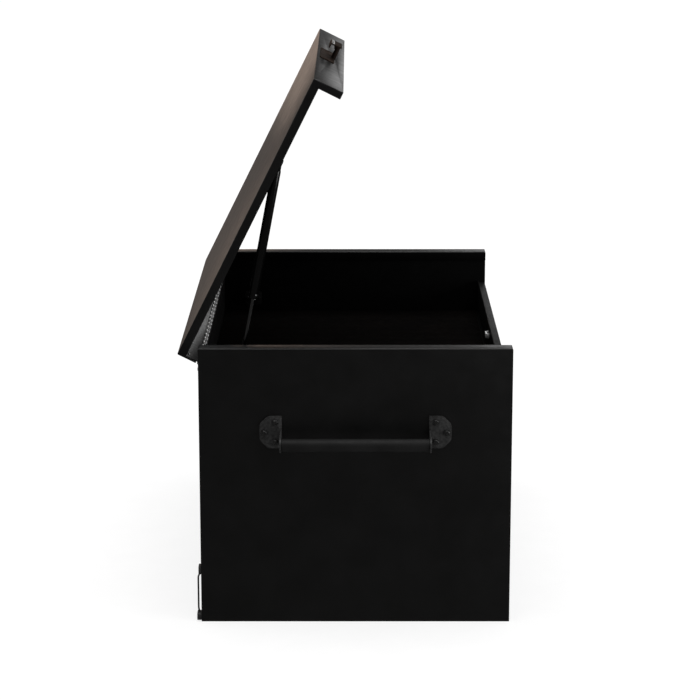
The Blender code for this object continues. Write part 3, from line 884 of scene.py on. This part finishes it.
# from the lid's top down: the lip, the side skirts, the back skirt, and past them all
LIP_DEPTH, SIDE_SKIRT, BACK_SKIRT, PAST_SKIRTS = 0.0626, 0.017, 0.040, 0.080
LIP_RETURN = 0.0145
SPINDLE_Z = 0.520
SPINDLE_BORE = 0.0054
# the stiffener's half widths at its feet's edges, its bends and its crown
HAT_EDGE, HAT_FOOT, HAT_CROWN = 0.060, 0.040, 0.030
HAT_HALF, HAT_DEPTH, HAT_SHEET = 0.400, 0.016, 0.0012
WELD_COLUMNS = [x / 1000 for x in range(-360, 361, 120)]
WELD_RADIUS, WELD_RISE = 0.0032, 0.0005


def lid_shell():
    """The lid's folded tray: top, lip, side skirts and the deeper back skirt."""
    shell = block("lid_tray", (-LID_HALF, FRONT, TOP - LIP_DEPTH), (LID_HALF, LID_BACK, TOP))
    pick(shell, "FACE", facing(0, 0, -1))
    bpy.ops.mesh.delete(type="ONLY_FACE")
    done(shell)
    pick(shell, "EDGE", lambda edge: not edge.is_boundary)
    bpy.ops.mesh.bevel(offset=0.0022, segments=4)
    done(shell)
    thicken(shell, SHEET, -1)
    outward(shell)
    foot = TOP - PAST_SKIRTS
    sides = block(
        "side_relief",
        (-PAST_LID, FRONT + LIP_RETURN, foot),
        (PAST_LID, LID_BACK - 0.003, TOP - SIDE_SKIRT),
    )
    cut(shell, sides)
    rear = block(
        "back_relief",
        (-PAST_LID, LID_BACK - 0.0045, foot),
        (PAST_LID, LID_BACK + 0.01, TOP - BACK_SKIRT),
    )
    cut(shell, rear)
    cut(shell, spindle_bore("spindle_hole", FRONT - 0.01, FRONT + 0.01))
    soften(shell, 0.0003, 2, 40)
    settle(shell, "lid", "black_paint", place=LID, replaces=["lid_shell"])


def spindle_bore(name, front, back, radius=SPINDLE_BORE):
    """A cutting bar along the latch's spindle."""
    return rod(name, radius, (0, front, SPINDLE_Z), (0, back, SPINDLE_Z))


def lid_stiffener():
    """A hat channel across the underside of the lid, spot welded along its feet."""
    crown = UNDER_TOP - HAT_DEPTH
    hat = strip(
        "lid_hat_channel",
        "X",
        (-HAT_HALF, HAT_HALF),
        [
            (-HAT_EDGE, UNDER_TOP),
            (-HAT_FOOT, UNDER_TOP),
            (-HAT_CROWN, crown),
            (HAT_CROWN, crown),
            (HAT_FOOT, UNDER_TOP),
            (HAT_EDGE, UNDER_TOP),
        ],
        -1,
        HAT_SHEET,
        bend=0.0020,
    )
    places = [(x, y, UNDER_TOP - 0.0011) for x in WELD_COLUMNS for y in (-0.051, 0.051)]
    welds = heads("hat_spot_welds", places, WELD_RADIUS, (0, 0, -WELD_RISE))
    channel = joined("lid_hat_channel", [hat, welds])
    settle(channel, "lid", "black_inside", place=LID, replaces=["lid_stiffener"])


# ------------------------------------------------------------------ latch
LATCH_HALF = 0.0875
LATCH_FOOT, LATCH_HEAD = 0.517, 0.549
LATCH_SCREW_X, LATCH_SCREW_Z = 0.073, 0.533
NUT_RADIUS, NUT_HEIGHT = 0.0105, 0.006
GRIP_HALF, GRIP_SHEET, GRIP_FLANGE = 0.040, 0.0025, 0.0110
GRIP_FRONT, GRIP_HEAD, GRIP_FOOT = FRONT - 0.032, TOP - 0.0166, SPINDLE_Z - 0.0055
SHAFT_RADIUS, HUB_RADIUS = 0.005, 0.0085
CAM_BACK = -0.2755
CAM_FRONT = CAM_BACK - 0.003
CAM_TIP, CAM_HALF = 0.066, 0.008


def latch():
    """A base plate on the lip, a nut behind it, and the turn handle with its cam."""
    latch_plate()
    nut_front = FRONT + SHEET + GAP
    nut_back = nut_front + NUT_HEIGHT
    nut = rod("latch_hex_nut", NUT_RADIUS, (0, nut_front, SPINDLE_Z), (0, nut_back, SPINDLE_Z), 6)
    soften(nut, 0.0009, 2)
    cut(nut, spindle_bore("nut_bore", -0.32, -0.29))
    settle(nut, "lid", "zinc", place=LID, replaces=["latch_nut"])
    latch_grip()
    latch_cam()


def latch_plate():
    """The base plate with its raised middle and two screws."""
    front = FRONT - GAP
    low = (-LATCH_HALF, front - 0.0015, LATCH_FOOT)
    base = rounded_block("latch_plate", low, (LATCH_HALF, front, LATCH_HEAD), "Y", 0.003)
    pick(base, "FACE", facing(0, -1, 0))
    bpy.ops.mesh.inset(thickness=0.0020)
    extrude(0, 0.0007, 0)
    done(base)
    cut(base, spindle_bore("base_bore", -0.32, -0.29))
    soften(base, 0.0004)
    places = [(x, front - 0.0006, LATCH_SCREW_Z) for x in (-LATCH_SCREW_X, LATCH_SCREW_X)]
    screws = heads("latch_screws", places, 0.0042, (0, -0.0012, 0))
    plate = joined("latch_plate", [base, screws])
    settle(plate, "lid", "latch_plastic", place=LID, replaces=["latch_base"])


def latch_grip():
    """The bar to turn, its hub and shaft, and the bright strip along its head."""
    grip = strip(
        "latch_turn_handle",
        "X",
        (-GRIP_HALF, GRIP_HALF),
        [(GRIP_FRONT + GRIP_FLANGE, GRIP_HEAD), (GRIP_FRONT, GRIP_HEAD), (GRIP_FRONT, GRIP_FOOT)],
        1,
        GRIP_SHEET,
        bend=0.0030,
        edge=0,
    )
    low, high = (-GRIP_HALF, -0.4, GRIP_FOOT), (GRIP_HALF, -0.2, GRIP_HEAD)
    cut(grip, rounded_block("grip_outline", low, high, "Y", 0.004, 4), "INTERSECT")
    root = GRIP_FRONT + 0.0012
    shaft = rod("latch_shaft", SHAFT_RADIUS, (0, CAM_BACK, SPINDLE_Z), (0, root, SPINDLE_Z))
    cut(grip, shaft, "UNION")
    hub_z = SPINDLE_Z + 0.0025
    hub = rod("latch_hub", HUB_RADIUS, (0, root, hub_z), (0, GRIP_FRONT + 0.012, hub_z))
    pick(hub, "FACE", facing(0, 1, 0))
    resize((0.62, 1, 0.62), (0, 0, SPINDLE_Z))
    done(hub)
    cut(grip, hub, "UNION")
    soften(grip, 0.0006)
    settle(grip, "latch_handle", "latch_plastic", place=LID, replaces=["latch_handle"])
    low = (-0.036, GRIP_FRONT - 0.0004, GRIP_HEAD - 0.0085)
    high = (0.036, GRIP_FRONT + 0.001, GRIP_HEAD - 0.0020)
    trim = rounded_block("latch_handle_trim", low, high, "Y", 0.002)
    soften(trim, 0.0003)
    settle(trim, "latch_handle", "zinc", place=LID)


def latch_cam():
    """The arm at the shaft's inner end, with the toe that goes behind the striker."""
    low = (-0.008, CAM_FRONT, SPINDLE_Z - CAM_HALF)
    cam = rounded_block("latch_hook_cam", low, (CAM_TIP, CAM_BACK, SPINDLE_Z + CAM_HALF), "Y", 0.006)
    low = (0.0608, -0.2860, SPINDLE_Z - 0.006)
    toe = block("cam_toe", low, (CAM_TIP, CAM_FRONT + 0.001, SPINDLE_Z + 0.006))
    cut(cam, toe, "UNION")
    cut(cam, spindle_bore("cam_bore", -0.29, -0.27, 0.0053))
    soften(cam, 0.0005)
    settle(cam, "latch_handle", "zinc", place=LID, replaces=["latch_cam"])


# ------------------------------------------------------------------ gas struts
STRUT_X, STRUT_Y, STRUT_Z = JOINTS["strut_pivot_right"]["pos_m"]
STRUT_LENGTH = hypot(0.4606, 0.0870)
# where the upper ball joint lies while the lid is shut
STRUT_SHUT = (-0.1230, 0.5445)
# where the cylinder begins, and how far up inside it the bore and the rod reach
STRUT_STEP, STRUT_BORE, ROD_REACH = 0.2004, 0.140, 0.022
ROD_RADIUS, CYLINDER_RADIUS = 0.0040, 0.0092
ROD_NECK, CYLINDER_NECK = 0.0054, 0.0078
BALL_BORE = 0.0035
GROOVE = 0.002
BRACKET = 0.002
WALL_PLATE_Y, WALL_PLATE_Z = 0.020, 0.016
ARM_OFFSET, ARM_FLANGE, ARM_HALF, ARM_DROP = 0.0125, 0.0075, 0.018, 0.008
STUD_RADIUS, SHOULDER_RADIUS, SHOULDER_LENGTH = 0.0030, 0.0048, 0.0045
STUD_TIP = STRUT_X - 0.007


def socket(name, height, way, girth):
    """A ball socket across the strut's line, with a neck towards the strut (way +1 is up)."""
    cup = rod(name, girth + 0.0010, (-0.005, 0, height), (0.005, 0, height), 28)
    soften(cup, 0.0012, 3)
    neck_end = height + way * 0.017
    neck = rod("socket_neck", girth, (0, 0, height + way * 0.004), (0, 0, neck_end), 24)
    pick(neck, "EDGE", at(2, neck_end))
    bpy.ops.mesh.bevel(offset=0.0012, segments=3)
    done(neck)
    cut(cup, neck, "UNION")
    cut(cup, rod("ball_bore", BALL_BORE, (-0.02, 0, height), (0.02, 0, height), 24))
    return cup


def strut(side, hand):
    """Rod below, cylinder above, and the two brackets with their ball studs."""
    place = strut_place(hand)
    name = f"gas_rod_{hand}"
    end = socket("rod_socket", 0, 1, ROD_NECK)
    piston = rod(name, ROD_RADIUS, (0, 0, 0.012), (0, 0, STRUT_STEP + ROD_REACH), 24)
    piece = joined(name, [end, piston])
    settle(piece, f"strut_rod_{hand}", "rod_chrome", place=place, replaces=[f"strut_rod_{hand}"])

    name = f"gas_cylinder_{hand}"
    tube = strut_cylinder(name)
    top = socket("cylinder_socket", STRUT_LENGTH, -1, CYLINDER_NECK)
    piece = joined(name, [tube, top])
    body = f"strut_cylinder_{hand}"
    settle(piece, body, "strut_black", place=place, replaces=[body])

    wall_bracket(side, hand)
    lid_bracket(side, hand)


def strut_cylinder(name):
    """The cylinder's tube, grooved and rounded at its mouth, bored, and drawn in at its head."""
    head = STRUT_LENGTH - 0.010
    groove = STRUT_STEP + 0.010
    tube = rod(name, CYLINDER_RADIUS, (0, 0, STRUT_STEP), (0, 0, head), 40)
    for height in (groove - GROOVE, groove, groove + GROOVE, head - 0.004):
        slice_at(tube, 2, height)
    for height, scale in ((groove, 0.90), (head, 0.86)):
        pick(tube, "EDGE", at(2, height))
        resize((scale, scale, 1), (0, 0, 0))
        done(tube)
    pick(tube, "EDGE", at(2, STRUT_STEP))
    bpy.ops.mesh.bevel(offset=0.0016, segments=3)
    done(tube)
    pick(tube, "FACE", facing(0, 0, -1))
    bpy.ops.mesh.inset(thickness=0.0032)
    extrude(0, 0, STRUT_BORE)
    done(tube)
    return soften(tube, 0.0006, 3)


def wall_bracket(side, hand):
    """The plate on the till's wall with its ball stud and two screws."""
    face = side * BETWEEN_WALLS
    near, far = sorted((face, face - side * BRACKET))
    name = f"wall_ball_bracket_{hand}"
    plate = rounded_block(
        name,
        (near, STRUT_Y - WALL_PLATE_Y, STRUT_Z - WALL_PLATE_Z),
        (far, STRUT_Y + WALL_PLATE_Y, STRUT_Z + WALL_PLATE_Z),
        "X",
        0.006,
    )
    soften(plate, 0.0004)
    ball = stud(face - side * BRACKET / 2, side * STUD_TIP, STRUT_Y, STRUT_Z)
    places = [(face - side * 0.0018, STRUT_Y + dy, STRUT_Z) for dy in (-0.0135, 0.0135)]
    screws = heads("bracket_screws", places, 0.0038, (-side * 0.0018, 0, 0))
    bracket = joined(name, [plate, ball, screws])
    settle(bracket, "chest", "rail_paint", replaces=[f"strut_wall_bracket_{hand}"])


def lid_bracket(side, hand):
    """The arm that hangs under the lid with its ball stud."""
    flat = side * (STRUT_X + ARM_OFFSET)
    front, rear = STRUT_SHUT[0] - ARM_HALF, STRUT_SHUT[0] + ARM_HALF
    foot = STRUT_SHUT[1] - ARM_DROP
    name = f"lid_ball_bracket_{hand}"
    arm = strip(
        name,
        "Y",
        (front, rear),
        [(side * (STRUT_X + ARM_OFFSET + ARM_FLANGE), UNDER_TOP), (flat, UNDER_TOP), (flat, foot)],
        side,
        BRACKET,
        bend=0.002,
    )
    outline = rounded_block(
        "arm_outline",
        (-PAST_LID, front, foot),
        (PAST_LID, rear, TOP),
        "X",
        0.009,
        5,
        below(STRUT_SHUT[1]),
    )
    cut(arm, outline, "INTERSECT")
    bracket = joined(name, [arm, stud(flat + side * BRACKET / 2, side * STUD_TIP, *STRUT_SHUT)])
    settle(bracket, "lid", "rail_paint", LID, [f"strut_lid_bracket_{hand}"])


def stud(root, tip, y, z):
    """A pin along X with a six-sided shoulder at its root."""
    way = 1 if tip > root else -1
    pin = rod("ball_stud", STUD_RADIUS, (root, y, z), (tip, y, z), 24)
    shoulder_end = root + way * SHOULDER_LENGTH
    cut(pin, rod("stud_shoulder", SHOULDER_RADIUS, (root, y, z), (shoulder_end, y, z), 6), "UNION")
    return soften(pin, 0.0003)


# ------------------------------------------------------------------ side handles
TUBE_X, TUBE_Z = OUTER + 0.060, 0.379
TUBE_RADIUS, TUBE_HALF = 0.0125, 0.1432
PLATE = 0.003
PLATE_INNER, PLATE_OUTER = 0.1435, 0.187
PLATE_HALF_HEIGHT = 0.0325
EAR_RADIUS = 0.0145
BOLT_FLANGE, BOLT_HEXAGON, BOLT_SHANK = 0.0065, 0.0053, 0.0030
BOLT_RISE, BOLT_LENGTH = 0.0048, 0.010


def handle(side, hand):
    """Two bent plates, a tube between them and their six bolts."""
    face = OUTER + GAP
    for end, where in ((-1, "front"), (1, "rear")):
        handle_plate(side, hand, end, where)
        for index, (along, rise) in enumerate(BOLT_PLACES):
            foot = Vector((side * (face + PLATE + GAP), end * along, HANDLE_Z + rise))
            ending = f"{hand}_{where}_{index + 1}"
            bolt(f"hex_bolt_{ending}", foot, side, f"handle_bolt_{ending}")
    x = side * TUBE_X
    tube = rod(f"handle_grip_{hand}", TUBE_RADIUS, (x, -TUBE_HALF, TUBE_Z), (x, TUBE_HALF, TUBE_Z), 48)
    for end in (-1, 1):
        pick(tube, "FACE", facing(0, end, 0))
        bpy.ops.mesh.inset(thickness=0.0018)
        extrude(0, -end * 0.012, 0)
        done(tube)
    soften(tube, 0.0008, 3, 50)
    settle(tube, "chest", "black_tube", replaces=[f"handle_tube_{hand}"])


def handle_plate(side, hand, end, where):
    """A plate rounded on its outer side, with the ear that holds the tube on its inner one."""
    near, far = sorted((side * (OUTER + GAP), side * (OUTER + GAP + PLATE)))
    first, last = sorted((end * PLATE_INNER, end * PLATE_OUTER))
    plate = rounded_block(
        f"handle_plate_{hand}_{where}",
        (near, first, HANDLE_Z - PLATE_HALF_HEIGHT),
        (far, last, HANDLE_Z + PLATE_HALF_HEIGHT),
        "X",
        0.0165,
        1,
        lambda place: abs(place.y) > 0.16,
    )

    def on_outer_corner(edge):
        first, last = edge.verts
        return abs(first.co.x - last.co.x) > SAME and abs(first.co.y) > 0.15

    pick(plate, "EDGE", on_outer_corner)
    bpy.ops.mesh.bevel(offset=0.005, segments=4)
    done(plate)
    first, last = sorted((end * PLATE_INNER, end * (PLATE_INNER + PLATE)))
    root = block("ear_root", (near, first, TUBE_Z - EAR_RADIUS), (far, last, TUBE_Z + EAR_RADIUS))
    tip = rod("ear_tip", EAR_RADIUS, (side * TUBE_X, first, TUBE_Z), (side * TUBE_X, last, TUBE_Z), 40)
    ear = joined("handle_ear", [root, tip])
    pick(ear, "FACE", lambda face: True)
    bpy.ops.mesh.convex_hull()
    done(ear)
    cut(plate, ear, "UNION")
    soften(plate, 0.0006, 2, 40)
    settle(plate, "chest", "textured_black", replaces=[f"handle_bracket_{hand}_{where}"])


def bolt(name, foot, side, node_name):
    """A hex head on its flange, with the shank going into the panel."""
    way = Vector((side, 0, 0))
    flange = rod(name, BOLT_FLANGE, foot, foot + way * 0.0014, 28)
    soften(flange, 0.0005)
    hexagon = rod("bolt_hexagon", BOLT_HEXAGON, foot + way * 0.0012, foot + way * BOLT_RISE, 6)
    soften(hexagon, 0.0008, 3)
    shank = rod("bolt_shank", BOLT_SHANK, foot + way * 0.0004, foot - way * BOLT_LENGTH, 20)
    settle(joined(name, [flange, hexagon, shank]), "chest", "bolt_black", replaces=[node_name])


# ------------------------------------------------------------------ drawers
FACE = -0.290
TUB_HALF, TUB_BACK = 0.4575, 0.255
TUB_FOOT, TUB_HEAD = 0.010, 0.024
FRONT_HALF = 0.4715
FRONT_RETURN = 0.012
# each drawer's name, and the foot and head of its front
DRAWERS = (("low", 0.034, 0.164), ("middle", 0.168, 0.283), ("top", 0.287, 0.398))
# half heights of the runner and the slide, the turned edge of each, and their widths
RUNNER_HALF, RUNNER_LIP, RUNNER_WIDTH = 0.014, 0.010, 0.010
SLIDE_HALF, SLIDE_LIP, SLIDE_WIDTH = 0.0225, 0.0190, 0.0125
SLIDE_LIFT = 0.008
PULL_FRONT = FRONT + 0.001
PULL_ROOT, PULL_DROP, PULL_SLOPE = 0.030, 0.016, 0.004
PULL_END = 0.002


def drawer(name, foot, head):
    """A pressed tub on its runners, a folded front, a full-width pull and two slides."""
    body = f"drawer_{name}"
    tub_foot = foot + TUB_FOOT
    middle = tub_foot + SLIDE_LIFT + SLIDE_HALF
    parts = [drawer_tub(f"{body}_tub", tub_foot, head - TUB_HEAD)]
    for side in (-1, 1):
        inner, outer = side * TUB_HALF, side * (TUB_HALF + RUNNER_WIDTH)
        runner = channel(
            "runner", FACE + 0.020, inner, outer, middle, RUNNER_HALF, RUNNER_LIP, -side, 0.0012
        )
        parts.append(runner)
    settle(joined(f"{body}_tub", parts), body, "black_inside", replaces=[body])

    front = strip(
        f"{body}_front",
        "X",
        (-FRONT_HALF, FRONT_HALF),
        [(FACE + FRONT_RETURN, foot), (FACE, foot), (FACE, head), (FACE + FRONT_RETURN, head)],
        -1,
        bend=0.0020,
    )
    settle(front, body, "black_paint")
    drawer_pull(f"{body}_full_pull", body, head, f"drawer_pull_{name}")

    for side, hand in SIDES:
        outer, inner = side * BETWEEN_WALLS, side * (BETWEEN_WALLS - SLIDE_WIDTH)
        slide = channel(
            f"{body}_slide_{hand}",
            FACE + 0.025,
            outer,
            inner,
            middle,
            SLIDE_HALF,
            SLIDE_LIP,
            side,
            0.0022,
        )
        settle(slide, "chest", "zinc", replaces=[f"slide_{name}_{hand}"])


def drawer_tub(name, foot, head):
    """An open tray of pressed sheet with rounded edges."""
    tub = block(name, (-TUB_HALF, FACE + SHEET, foot), (TUB_HALF, TUB_BACK, head))
    pick(tub, "FACE", facing(0, 0, 1))
    bpy.ops.mesh.delete(type="ONLY_FACE")
    done(tub)
    pick(tub, "EDGE", lambda edge: not edge.is_boundary)
    bpy.ops.mesh.bevel(offset=0.0035, segments=4)
    done(tub)
    thicken(tub, SHEET, -1)
    outward(tub)
    return soften(tub, 0.0003, 2, 40)


def channel(name, front, web, mouth, middle, half, lip, lay, bend):
    """A channel from front to the tub's back, with its web at one x and its mouth at another."""
    route = [
        (mouth, middle - lip),
        (mouth, middle - half),
        (web, middle - half),
        (web, middle + half),
        (mouth, middle + half),
        (mouth, middle + lip),
    ]
    return strip(name, "Y", (front, TUB_BACK), route, lay, bend=bend, edge=0.0002)


def drawer_pull(name, body, head, node_name):
    """A folded pull over the front's head, closed at both ends."""
    root = FACE - GAP
    pull = strip(
        name,
        "X",
        (-FRONT_HALF, FRONT_HALF),
        [
            (root, head - PULL_ROOT),
            (root, head),
            (FRONT + 0.004, head),
            (PULL_FRONT, head - PULL_SLOPE),
            (PULL_FRONT, head - PULL_DROP),
        ],
        1,
        bend=0.0016,
    )
    parts = [pull]
    for side in (-1, 1):
        near, far = sorted((side * FRONT_HALF, side * (FRONT_HALF - PULL_END)))
        low = (near, FRONT + 0.0016, head - 0.0145)
        high = (far, FACE - 0.0012, head - 0.0006)
        parts.append(rounded_block("pull_end", low, high, "X", 0.003, 3))
    settle(joined(name, parts), body, "pull_metal", replaces=[node_name])


# ------------------------------------------------------------------ back staple
STAPLE_X = -0.495
# each block's name, foot, head and stand off the back
HOLDERS = (("upper", 0.0970, 0.1136, 0.0050), ("lower", 0.0020, 0.0170, 0.0087))
HOLDER_HALF = 0.012
HOLDER_SCREW_X, HOLDER_SCREW_RADIUS, HOLDER_SCREW_RISE = 0.0070, 0.0026, 0.0010
LOOP_RADIUS, LOOP_BEND = 0.0018, 0.003
LOOP_FOOT, LOOP_HEAD = 0.0177, 0.0966
LOOP_Y = BACK + 0.0062
LOOP_END = 0.006


def back_staple():
    """A wire between two moulded blocks, low on the back at the left."""
    for name, foot, head, stand in HOLDERS:
        outer = BACK + stand
        holder = rounded_block(
            f"staple_holder_{name}",
            (STAPLE_X - HOLDER_HALF, BACK + GAP, foot),
            (STAPLE_X + HOLDER_HALF, outer, head),
            "Y",
            0.004,
        )
        pick(holder, "FACE", facing(0, 1, 0))
        bpy.ops.mesh.inset(thickness=0.0012)
        extrude(0, -0.0006, 0)
        done(holder)
        soften(holder, 0.0004)
        middle = (foot + head) / 2
        places = [
            (STAPLE_X + dx, outer - HOLDER_SCREW_RISE, middle) for dx in (-HOLDER_SCREW_X, HOLDER_SCREW_X)
        ]
        screws = heads("holder_screws", places, HOLDER_SCREW_RADIUS, (0, HOLDER_SCREW_RISE, 0))
        holder = joined(holder.name, [holder, screws])
        settle(holder, "chest", "textured_black", replaces=[f"staple_block_{name}"])
    loop = wire(
        "staple_loop",
        LOOP_RADIUS,
        [
            (STAPLE_X, BACK + 0.0030, LOOP_HEAD),
            (STAPLE_X, LOOP_Y, LOOP_HEAD - LOOP_END),
            (STAPLE_X, LOOP_Y, LOOP_FOOT + LOOP_END),
            (STAPLE_X, BACK + 0.0045, LOOP_FOOT),
        ],
        LOOP_BEND,
    )
    settle(loop, "chest", "textured_black", replaces=["staple_wire"])


# ------------------------------------------------------------------ assembly
for side, hand in SIDES:
    side_panel(side, hand)
    inner_wall(side, hand)
    strut(side, hand)
    handle(side, hand)
back_and_base()
till()
hinge()
lid_shell()
lid_stiffener()
latch()
for drawer_name, drawer_foot, drawer_head in DRAWERS:
    drawer(drawer_name, drawer_foot, drawer_head)
back_staple()

# ------------------------------------------------------------------ stage
clear_selection()
bpy.ops.mesh.primitive_plane_add(size=80)
floor = added("studio_floor")
pale = coat("pale_floor", grey(0.20), grey(0.21), (0.9, 0.9), specular=0.0)
glow = pale.node_tree.nodes["Principled BSDF"].inputs
glow["Emission Color"].default_value = (1, 1, 1, 1)
glow["Emission Strength"].default_value = 0.77
floor.data.materials.append(pale)
floor.visible_glossy = False

world = bpy.data.worlds.new("studio")
scene.world = world
world.use_nodes = True
sky = world.node_tree.nodes["Background"]
sky.inputs["Color"].default_value = (1.0, 0.98, 0.97, 1)
sky.inputs["Strength"].default_value = 0.09


def light(name, kind, energy, place, aim, colour=(1, 1, 1), size=1.0):
    """A lamp at a place, looking at its aim."""
    data = bpy.data.lights.new(name, kind)
    data.energy = energy
    data.color = colour
    if kind == "SUN":
        data.angle = size
    else:
        data.shape = "DISK"
        data.size = size
    lamp = bpy.data.objects.new(name, data)
    lamp.location = place
    lamp.rotation_euler = (Vector(aim) - Vector(place)).to_track_quat("-Z", "Y").to_euler()
    lamp.visible_camera = False
    scene.collection.objects.link(lamp)


light("overhead_softbox", "SUN", 3.7, (0, 0, 6), (0, 0, 0), size=radians(70))
light("front_softbox", "AREA", 200, (-3.0, -6.0, 1.6), (0, 0, 0.5), size=3.0)
light("rear_softbox", "AREA", 50, (2.0, 6.0, 3.0), (0, 0, 0.6), size=3.5)
light("lid_low_card", "AREA", 3.4, (5.0, 2.6, 0.6), (0, 0.2, 0.7), (1.0, 0.75, 0.60), size=1.6)
light("lid_top_card", "AREA", 3.4, (5.0, 0.9, 1.2), (0, 0.1, 0.9), (1.0, 0.75, 0.60), size=1.2)
light("lip_card", "AREA", 5.6, (5.0, -1.15, 1.65), (0, 0.05, 1.05), size=1.2)

camera_data = bpy.data.cameras.new("side_camera")
camera_data.lens = 123.16
camera_data.sensor_width = 36.0
camera_data.clip_end = 200
camera = bpy.data.objects.new("side_camera", camera_data)
camera.location = (-5.006, 0.0107, 1.623)
looking_down = 13.3707
camera.rotation_euler = (radians(90 - looking_down), 0, radians(-90))
scene.collection.objects.link(camera)
scene.camera = camera
